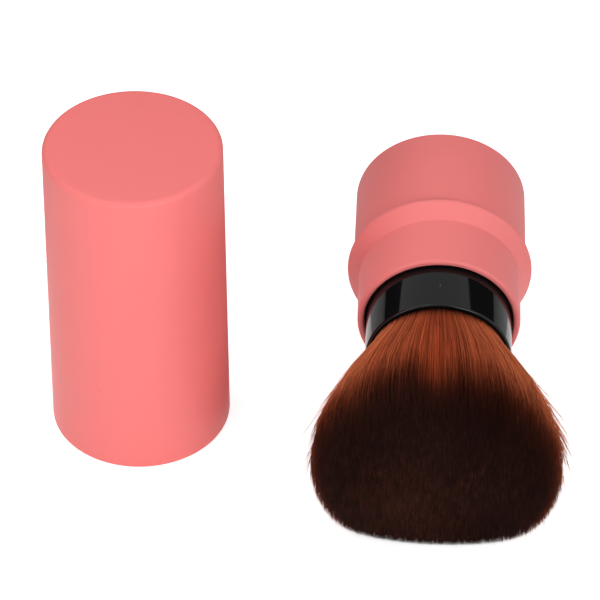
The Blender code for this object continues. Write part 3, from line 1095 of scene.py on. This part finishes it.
class HairMesh:
    """Gathers faces with their places on the bristles' map, and makes one mesh of them."""

    def __init__(self, finish: DippedHair) -> None:
        """Starts empty.

        Args:
            finish: the finish whose map the faces lie on.
        """
        self.finish = finish
        self.points: list[np.ndarray] = []
        self.faces: list[list[int]] = []
        self.maps: list[np.ndarray] = []
        self.count = 0

    def add(self, points: np.ndarray, height: np.ndarray, quads: np.ndarray, ends: np.ndarray) -> None:
        """Adds one set of points with the faces between them.

        Args:
            points: (point, xyz) places.
            height: how far along the dye each point counts as lying.
            quads: (face, 5) rows of four points and a tone band.
            ends: (face, 4) rows of three points and a tone band.
        """
        along = self.finish.along(height)
        bands = self.finish.tone_bands
        # How far across its band and along the bristle each corner lies, so that no face is flat
        # on the map.
        for faces, rise, nudge in (
            (quads, (0.2, 0.8, 0.8, 0.2), (0.0, 0.0, 0.0, 0.0)),
            (ends, (0.2, 0.8, 0.5), (0.0, 0.0, 0.002)),
        ):
            corners, tone = faces[:, :-1], faces[:, -1:]
            across = (tone + np.array(rise)) / bands
            places = np.stack((along[corners] + np.array(nudge), across), axis=-1)
            self.maps.append(places.ravel())
            self.faces += (corners + self.count).tolist()
        self.points.append(points)
        self.count += len(points)

    def mesh(self, name: str) -> bpy.types.Mesh:
        """The mesh of all that was added, with its two maps.

        Args:
            name: the mesh's name.

        Returns:
            The mesh.
        """
        mesh = bpy.data.meshes.new(name)
        mesh.from_pydata(np.concatenate(self.points).tolist(), [], self.faces)
        flat_map = np.concatenate(self.maps).astype(np.float32)
        for map_name in (BAKE_MAP, self.finish.map_name):
            mesh.uv_layers.new(name=map_name).data.foreach_set("uv", flat_map)
        mesh.shade_smooth()
        return mesh


@dataclass(frozen=True)
class HairKind:
    """Bristles that are drawn alike."""

    steps: tuple[float, ...]  # shares of its length that its stations lie at
    taper: tuple[float, ...]  # shares of the full thickness there


@dataclass(frozen=True)
class BristleHead:
    """The dome of bristles, pressed flat underneath where it lies on the table.

    A bristle's spot is its place on the head's disc, a complex number of size 1 at the rim. Its
    share is the spot's size, and its angle, of 90 degrees on top, runs round the head.
    """

    axis: Axis
    mouth: float  # height of the ferrule's mouth
    tip: float  # height of the dome's top
    clear_height: float  # of the axis over the table, less what a bristle needs
    finish: DippedHair = DippedHair()
    seed: int = 11
    sectors: int = 12
    kept_when_gathered: float = 0.84

    # The head's shape.
    neck: float = 15.04 * MM
    fullest: float = 27.2 * MM
    dome: float = 8.9 * MM
    flare_power: float = 1.083
    dome_side_power: float = 2.359
    dome_rise_power: float = 2.741
    lean_run: float = 40 * MM
    lean_side: float = 0.018
    lean_up: float = 0.091
    press_power: float = 10
    pressed_back: float = 0.50  # how far a pressed bristle's tip draws back, by how far it is pressed
    pressed_out: float = 0.04  # how much wider the head is where the table presses it

    # The heart, which stands for the bristles packed inside.
    backing_radius: float = 14.8 * MM
    backing_rear: float = 3.6 * MM  # behind the ferrule's mouth
    backing_face: float = 0.6 * MM
    heart_neck_share: float = 0.95
    heart_neck: float = 6 * MM
    packed_share: float = 0.86
    heart_start: float = 0.6 * MM  # past the mouth
    heart_shoulder: float = 2 * MM  # short of the widest place
    heart_top: float = 2.4 * MM  # short of the tip
    side_rows: int = 14
    dome_steps: int = 12
    streaks: int = 44  # grooves in one sector
    groove_depth: float = 0.02
    groove_unevenness: float = 0.015
    seam_share: float = 0.98  # of the heart's radius, where two sectors meet

    # The bristles.
    long_hair: HairKind = HairKind(
        (0.0, 0.08, 0.17, 0.29, 0.45, 0.65, 0.88, 1.0), (1.0, 1.0, 1.0, 1.0, 1.0, 0.95, 0.7, 0.12)
    )
    short_hair: HairKind = HairKind((0.0, 1.0), (1.0, 0.1))
    long_margin: float = 0.01  # how far inside the heart's side the long ones start
    short_length: float = 7 * MM
    root_depth: float = 0.3 * MM  # in the backing
    hair_count: int = 60000
    hair_radius: float = 0.072 * MM
    hair_radius_span: Span = (0.8, 1.2)  # shares of that radius, from bristle to bristle
    clump_count: int = 2200
    clump_pull: float = 0.07
    strand_count: int = 13000
    spiral_start: float = 0.7
    least_share: float = 0.01
    share_scatter: float = 0.004
    angle_scatter: float = 0.006
    rim_from: float = 0.95
    rim_scatter: float = 0.005
    drift: float = 0.007
    crossing_share: float = 0.08
    crossing_drift: float = 0.035

    # Bristles that end short or stray: their share, where they grow and by how much they are short.
    uneven_length: float = 0.25 * MM
    broken_share: float = 0.07
    broken_to: float = 0.93
    broken_length: float = 1.1 * MM
    fuzz_share: float = 0.30
    fuzz_at_side: float = 0.8  # of that share, at the head's sides
    fuzz_rise: float = 1.4  # how fast it grows from there to the top and falls to the underside
    fuzz_from: float = 0.9
    fuzz_length: float = 4.5 * MM
    fuzz_flick: float = 0.05
    stray_share: float = 0.010
    stray_from: float = 0.96
    stray_lengths: Span = (1, 8)  # in millimetres
    stray_flick: float = 0.12
    least_stray_flick: float = 0.2
    tufts: tuple[tuple[float, float, float], ...] = (
        (10, 14, 0.28),
        (165, 6, 0.12),
    )  # degrees round the head, reach in degrees and share of the outer bristles that stray there

    # Their tones.
    clump_shade: float = 0.15
    strand_shade: float = 0.45
    hair_shade: float = 0.40
    shade_contrast: float = 1.2
    # A painted highlight: the tips are paler round one spot of the dome's face.
    tip_highlight_spot: complex = -0.28 - 0.25j  # where the tips are palest
    tip_highlight_reach: float = 0.45
    tip_highlight_shade: float = 0.22
    shade_offset: float = 0.05
    least_warmth: float = 0.12
    # Painted light: roots warmer and paler at the head's sides than on top.
    side_light_warmth: float = 0.76
    warmth_scatter: float = 0.12

    # Where the dark dye starts. The tables hold degrees round the head and millimetres farther out,
    # for all bristles and, added to that, for those at the rim, whose later dye is painted light shining
    # through them.
    dye_line: Table = (
        (-180, -2.6), (-90, 1.5), (0, 2.2), (40, 3.6), (54, 2.9), (64, 2.2), (80, 2.2), (86, 3.6),
        (92, 5.4), (97, 3.0), (102, 0.2), (115, 0.2), (124, 2.0), (137, 2.2), (157, -2.2), (180, -2.6),
    )
    rim_glow_line: Table = (
        (-180, 7.0), (-150, 11.0), (-125, 9.0), (-90, 3.0), (-55, 9.0), (-30, 10.0),
        (0, 5.0), (30, 1.5), (60, 0.0), (120, 0.0), (150, 1.5), (180, 7.0),
    )
    dye_waves: Table = ((17, 0.35), (41, 0.25))  # waves round the head, and their size in millimetres
    dye_scatter: float = 1.2 * MM
    late_share: float = 0.02  # of the bristles, which the dye reaches later
    late_shift: float = 3 * MM
    fast_dye: Span = (88 * MM, 97 * MM)  # the heights over which the dye's line stops wavering
    rim_glow_from: float = 0.86
    rim_glow_width: float = 0.12
    # Painted shade of the ferrule's lip darkens the roots just past the mouth, less at the sides than on top.
    root_run: float = 8 * MM  # past the mouth, over which the lift below ends and the dye's shift sets in
    lip_shade_lift: float = 3.5 * MM  # by how much less of a root is dark at the sides than on top

    @property
    def widest(self) -> float:
        """The height where the head is widest."""
        return self.tip - self.dome

    def flare(self, height: np.ndarray) -> np.ndarray:
        """The head's radius, before the table presses it.

        Args:
            height: the heights to find it at.

        Returns:
            The radius at each of them.
        """
        rise = np.clip((height - self.mouth) / (self.widest - self.mouth), 0, 1)
        swell = np.sin(np.pi / 2 * rise**self.flare_power)
        return self.neck + (self.fullest - self.neck) * swell

    def dome_height(self, share: np.ndarray) -> np.ndarray:
        """The height that a bristle reaches, by its share of the head's radius."""
        fall = np.clip(share, 0, 1) ** self.dome_side_power
        return self.widest + self.dome * (1 - fall) ** (1 / self.dome_rise_power)

    def laid(self, points: np.ndarray) -> np.ndarray:
        """Leans the head a little, and presses up and out what the table holds back.

        Args:
            points: places as (x, up, height) rows.

        Returns:
            The same rows as they lie.
        """
        side, up, height = points[..., 0], points[..., 1], points[..., 2]
        full = self.flare(height)
        run = np.clip((height - self.mouth) / self.lean_run, 0, 1)
        height = height + run * (self.lean_side * side + self.lean_up * up)
        power = self.press_power
        depth = np.maximum(-up, 0)
        excess = np.maximum(full / self.clear_height, 1) ** power - 1
        pressed = depth / (1 + excess * (depth / full) ** power) ** (1 / power)
        pressed = np.minimum(pressed, self.clear_height)
        height = height - self.pressed_back * run * (depth - pressed)
        side = side * (1 + self.pressed_out * run * np.clip(depth / self.clear_height, 0, 1))
        return np.stack((side, np.where(up < 0, -pressed, up), height), axis=-1)

    def round_head(self, table: Table, angle: np.ndarray) -> np.ndarray:
        """A table's value at each angle, in millimetres."""
        degrees, value = zip(*table)
        return np.interp(np.degrees(angle), degrees, value)

    def dye_shift(self, angle: np.ndarray) -> np.ndarray:
        """How much farther out the dark dye starts.

        Args:
            angle: the angles round the head.

        Returns:
            The shift at each of them.
        """
        shift = self.round_head(self.dye_line, angle)
        for waves, size in self.dye_waves:
            shift = shift + size * np.sin(waves * angle)
        return shift * MM

    def tones(self, angle: np.ndarray, shade: np.ndarray, rng: np.random.Generator) -> np.ndarray:
        """The band on the bristles' map for each of them, warmer on average at the sides, as painted light
        that makes the roots paler there.

        Args:
            angle: the angles round the head.
            shade: from 0, dark, to 1, pale.
            rng: the source of chance.

        Returns:
            The bands' numbers.
        """
        scatter = rng.normal(0, self.warmth_scatter, len(angle))
        warmth = self.least_warmth + self.side_light_warmth * np.abs(np.cos(angle)) + scatter
        warm_band = (np.clip(warmth, 0, BELOW_ONE) * self.finish.warmths).astype(int)
        shade_band = (np.clip(shade, 0, BELOW_ONE) * self.finish.shades).astype(int)
        return warm_band * self.finish.shades + shade_band

    def nearest(self, spot: np.ndarray, count: int) -> tuple[np.ndarray, np.ndarray]:
        """Shares out bristles among evenly spread centres.

        Args:
            spot: the bristles' places on the head's disc.
            count: how many centres there are.

        Returns:
            The number and the place of each bristle's nearest centre.
        """
        numbers = np.arange(count)
        turn = numbers * GOLDEN_ANGLE + self.spiral_start
        centres = np.sqrt((numbers + 0.5) / count) * np.exp(1j * turn)
        tree = KDTree(count)
        for number, centre in enumerate(centres):
            tree.insert((centre.real, centre.imag, 0), number)
        tree.balance()
        found = np.array([tree.find((place.real, place.imag, 0))[1] for place in spot])
        return found, centres[found]

    def grow(self, rng: np.random.Generator) -> dict[str, np.ndarray]:
        """Roots and lengths of all bristles.

        Args:
            rng: the source of chance.

        Returns:
            For each bristle its spot on the head's disc, its reach, its clump's place, its drift,
            how far its tip flicks out and its shade.
        """
        count = self.hair_count
        numbers = np.arange(count)
        share = np.sqrt((numbers + 0.5) / count) + rng.normal(0, self.share_scatter, count)
        share -= np.where(share > self.rim_from, rng.exponential(self.rim_scatter, count), 0)
        share = np.clip(share, self.least_share, 1.0)
        angle = numbers * GOLDEN_ANGLE + rng.normal(0, self.angle_scatter, count)
        spot = share * np.exp(1j * angle)
        short = rng.exponential(self.uneven_length, count)
        is_broken = (rng.random(count) < self.broken_share) & (share < self.broken_to)
        short += np.where(is_broken, rng.exponential(self.broken_length, count), 0)
        fuzz_share = self.fuzz_share * np.clip(self.fuzz_at_side + self.fuzz_rise * np.sin(angle), 0, 1)
        is_fuzz = (share > self.fuzz_from) & (rng.random(count) < fuzz_share)
        short += np.where(is_fuzz, rng.exponential(self.fuzz_length, count), 0)
        clump, pull = self.nearest(spot, self.clump_count)
        strand, _ = self.nearest(spot, self.strand_count)
        shade = self.clump_shade * rng.random(self.clump_count)[clump]
        shade = shade + self.strand_shade * rng.random(self.strand_count)[strand]
        shade = 0.5 + self.shade_contrast * (shade + self.hair_shade * rng.random(count) - 0.5)
        # Painted highlight on the tips round one spot.
        tip_highlight = np.exp(-np.abs((spot - self.tip_highlight_spot) / self.tip_highlight_reach) ** 2)
        shade += self.tip_highlight_shade * tip_highlight - self.shade_offset
        spread = np.where(rng.random(count) < self.crossing_share, self.crossing_drift, self.drift)
        drift = spread * (rng.normal(0, 1, count) + 1j * rng.normal(0, 1, count))
        stray_share = np.full(count, self.stray_share)
        for middle, width, most in self.tufts:
            stray_share += most * np.exp(-(((np.degrees(np.angle(spot)) - middle) / width) ** 2))
        is_stray = (share > self.stray_from) & (rng.random(count) < stray_share)
        short += np.where(is_stray, rng.uniform(*self.stray_lengths, count) * MM, 0)
        flick = np.where(is_fuzz, self.fuzz_flick * rng.random(count), 0)
        stray_flick = self.stray_flick * rng.uniform(self.least_stray_flick, 1, count)
        flick = np.where(is_stray, stray_flick, flick)
        reach = self.dome_height(share) - short
        return {"spot": spot, "reach": reach, "clump": pull, "drift": drift, "flick": flick, "shade": shade}

    def paths(self, hairs: Mapping[str, np.ndarray], kind: HairKind) -> tuple[np.ndarray, np.ndarray]:
        """Where the bristles run.

        Args:
            hairs: what grow gave, for these bristles.
            kind: how they are drawn.

        Returns:
            The height and the spot of each bristle's stations.
        """
        start = np.full(len(hairs["reach"]), self.mouth - self.backing_face - self.root_depth)
        if kind is self.short_hair:
            start = hairs["reach"] - self.short_length
        height = start[:, None] + np.array(kind.steps) * (hairs["reach"] - start)[:, None]
        run = np.clip((height - self.mouth) / (self.tip - self.mouth), 0, 1)
        spot = hairs["spot"][:, None]
        spot = spot + (hairs["clump"][:, None] - spot) * self.clump_pull * run**3
        spot = spot + hairs["drift"][:, None] * run
        spot = spot / np.maximum(1, np.abs(spot))
        return height, spot * (1 + hairs["flick"][:, None] * np.array(kind.steps) ** 3)

    def dyed_height(
        self, hairs: Mapping[str, np.ndarray], height: np.ndarray, rng: np.random.Generator
    ) -> np.ndarray:
        """How far along the dye the bristles' stations count as lying.

        Args:
            hairs: what grow gave, for these bristles.
            height: their stations' heights.
            rng: the source of chance.

        Returns:
            The height on the bristles' map for each station.
        """
        place, angle = hairs["spot"], np.angle(hairs["spot"])
        shift = self.dye_shift(angle) + rng.normal(0, self.dye_scatter, len(place))
        is_late = rng.random(len(place)) < self.late_share
        shift += np.where(is_late, rng.exponential(self.late_shift, len(place)), 0)
        first, last = self.fast_dye
        shift = shift[:, None] * np.clip((last - height) / (last - first), 0, 1)
        # Painted light: the rim's bristles keep more of the root's colour, as if light shone through them.
        rim_glow = self.round_head(self.rim_glow_line, angle) * MM
        rim_glow = rim_glow * np.clip((np.abs(place) - self.rim_glow_from) / self.rim_glow_width, 0, 1)
        # Near the mouth a root at the sides reads farther along, so it takes less of the painted lip shade
        # than one on top.
        grown = np.clip((height - self.mouth) / self.root_run, 0, 1) ** 2
        lift = self.lip_shade_lift * np.cos(angle) ** 2
        return height - (shift + rim_glow[:, None]) * grown + lift[:, None] * (1 - grown)

    def add_bristles(
        self, gathered: HairMesh, hairs: Mapping[str, np.ndarray], kind: HairKind, rng: np.random.Generator
    ) -> None:
        """Adds three-sided closed tubes, one for each bristle.

        Args:
            gathered: the mesh that they go into.
            hairs: what grow gave, for these bristles.
            kind: how they are drawn.
            rng: the source of chance.
        """
        height, spot = self.paths(hairs, kind)
        out = self.flare(height)
        full = self.hair_radius * rng.uniform(*self.hair_radius_span, len(height))
        thickness = full[:, None] * np.array(kind.taper)
        turn = np.angle(spot[:, -1])[:, None]
        points = np.empty((*height.shape, HAIR_SIDES, 3))
        for side in range(HAIR_SIDES):
            around = turn + math.tau * side / HAIR_SIDES
            points[:, :, side, 0] = spot.real * out + thickness * np.cos(around)
            points[:, :, side, 1] = spot.imag * out + thickness * np.sin(around)
            points[:, :, side, 2] = height
        tone = self.tones(np.angle(hairs["spot"]), hairs["shade"], rng)
        number = np.arange(height.size * HAIR_SIDES).reshape(*height.shape, HAIR_SIDES)
        low, high = number[:, :-1], number[:, 1:]
        band = np.broadcast_to(tone[:, None], low.shape[:2])
        quads = []
        for side in range(HAIR_SIDES):
            after = (side + 1) % HAIR_SIDES
            corners = (low[..., side], low[..., after], high[..., after], high[..., side])
            quads.append(np.stack((*corners, band), axis=-1).reshape(-1, 5))
        ends = np.concatenate((number[:, 0, ::-1], number[:, -1, :]))
        ends = np.column_stack((ends, np.tile(tone, 2)))
        dyed = np.repeat(self.dyed_height(hairs, height, rng), HAIR_SIDES)
        gathered.add(self.laid(points).reshape(-1, 3), dyed, np.concatenate(quads), ends)

    def heart(self) -> Outline:
        """The section of the packed bristles, from the backing to the middle of the dome.

        Returns:
            The outline's points.
        """
        mouth = self.mouth
        backing = (mouth - self.backing_rear, mouth - self.backing_face)
        outline = [(self.backing_radius, height) for height in backing]
        shares = (self.heart_neck_share, self.packed_share)
        low, high = mouth + self.heart_start, self.widest - self.heart_shoulder
        for height in np.linspace(low, high, self.side_rows):
            share = np.interp(height - mouth, (0, self.heart_neck), shares)
            outline.append((float(share * self.flare(height)), float(height)))
        outer, base = outline[-1]
        depth = self.tip - self.heart_top - base
        for turn in np.linspace(0, math.pi / 2, self.dome_steps)[1:-1]:
            out = math.cos(turn) ** (2 / self.dome_side_power)
            rise = math.sin(turn) ** (2 / self.dome_rise_power)
            outline.append((outer * out, base + depth * rise))
        return outline

    def add_heart(self, gathered: HairMesh, middle: float, rng: np.random.Generator) -> None:
        """Adds one sector of the packed bristles, a wedge with a grooved outside.

        Args:
            gathered: the mesh that it goes into.
            middle: the angle of the sector's middle.
            rng: the source of chance.
        """
        outline = np.array(self.heart())
        rows, columns = len(outline), self.streaks + 1
        half = math.pi / self.sectors
        angle = np.linspace(middle - half, middle + half, columns)
        unevenness = self.groove_unevenness * rng.random((rows, columns))
        groove = 1 - unevenness - self.groove_depth * rng.random(columns)
        groove[:2] = 1
        groove[:, (0, -1)] = self.seam_share
        out = outline[:, :1] * groove
        height = np.repeat(outline[:, 1:], columns, axis=1)
        shell = np.stack((out * np.cos(angle), out * np.sin(angle), height), axis=-1)
        spine = np.column_stack((np.zeros((rows, 2)), outline[:, 1]))
        points = np.concatenate((shell.reshape(-1, 3), spine))
        number = np.arange(rows * columns).reshape(rows, columns)
        core = rows * columns + np.arange(rows)
        tone = self.tones(angle[:-1], rng.random(self.streaks), rng)
        band = np.broadcast_to(tone, (rows - 1, self.streaks))
        corners = (number[:-1, :-1], number[:-1, 1:], number[1:, 1:], number[1:, :-1], band)
        quads = [np.stack(corners, axis=-1).reshape(-1, 5)]
        flat = np.zeros(rows - 1, int)
        quads.append(np.column_stack((core[:-1], number[:-1, 0], number[1:, 0], core[1:], flat)))
        quads.append(np.column_stack((core[1:], number[1:, -1], number[:-1, -1], core[:-1], flat)))
        ends = []
        for row, order in ((0, (1, 0)), (-1, (0, 1))):
            pair = (number[row, :-1], number[row, 1:])
            hub = np.full(self.streaks, core[row])
            ends.append(np.column_stack((pair[order[0]], pair[order[1]], hub, tone)))
        shift = self.dye_shift(np.arctan2(points[:, 1], points[:, 0]))
        gathered.add(self.laid(points), points[:, 2] - shift, np.concatenate(quads), np.concatenate(ends))

    def build(self) -> None:
        """Grows the head in sectors."""
        rng = np.random.default_rng(self.seed)
        hairs = self.grow(rng)
        turns = np.angle(hairs["spot"]) / math.tau * self.sectors
        sector = np.floor(turns + 0.5).astype(int) % self.sectors
        is_long = np.abs(hairs["spot"]) > self.packed_share - self.long_margin
        material = self.finish.material()
        for number in range(self.sectors):
            middle = math.tau * number / self.sectors
            gathered = HairMesh(self.finish)
            self.add_heart(gathered, middle, rng)
            for kind, chosen in ((self.long_hair, is_long), (self.short_hair, ~is_long)):
                mine = chosen & (sector == number)
                some = {key: value[mine] for key, value in hairs.items()}
                self.add_bristles(gathered, some, kind, rng)
            name = f"bristles_{number + 1:02d}"
            stands_for = ["bristle_head"] if number == 0 else []
            piece = place_piece(
                name, gathered.mesh(name), self.axis, Body.BRUSH, material, stands_for
            )
            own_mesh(piece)


def main() -> None:
    """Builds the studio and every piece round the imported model."""
    logging.basicConfig(level=logging.INFO, format="%(name)s: %(message)s")
    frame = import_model()
    Studio().build()
    low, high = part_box("sleeve_collar")
    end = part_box("base_cup")[1].y
    centre = Vector(((low.x + high.x) / 2, end, (low.z + high.z) / 2))
    axis = Axis(centre, math.pi / 2)
    Cap().build()
    Handle(axis).build(frame["nodes"])
    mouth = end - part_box("ferrule_cup")[0].y
    tip = min(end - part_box("bristle_head")[0].y, DOME_TOP)
    BristleHead(axis, mouth, tip, centre.z - TABLE_GAP).build()


if __name__ == "__main__":
    main()
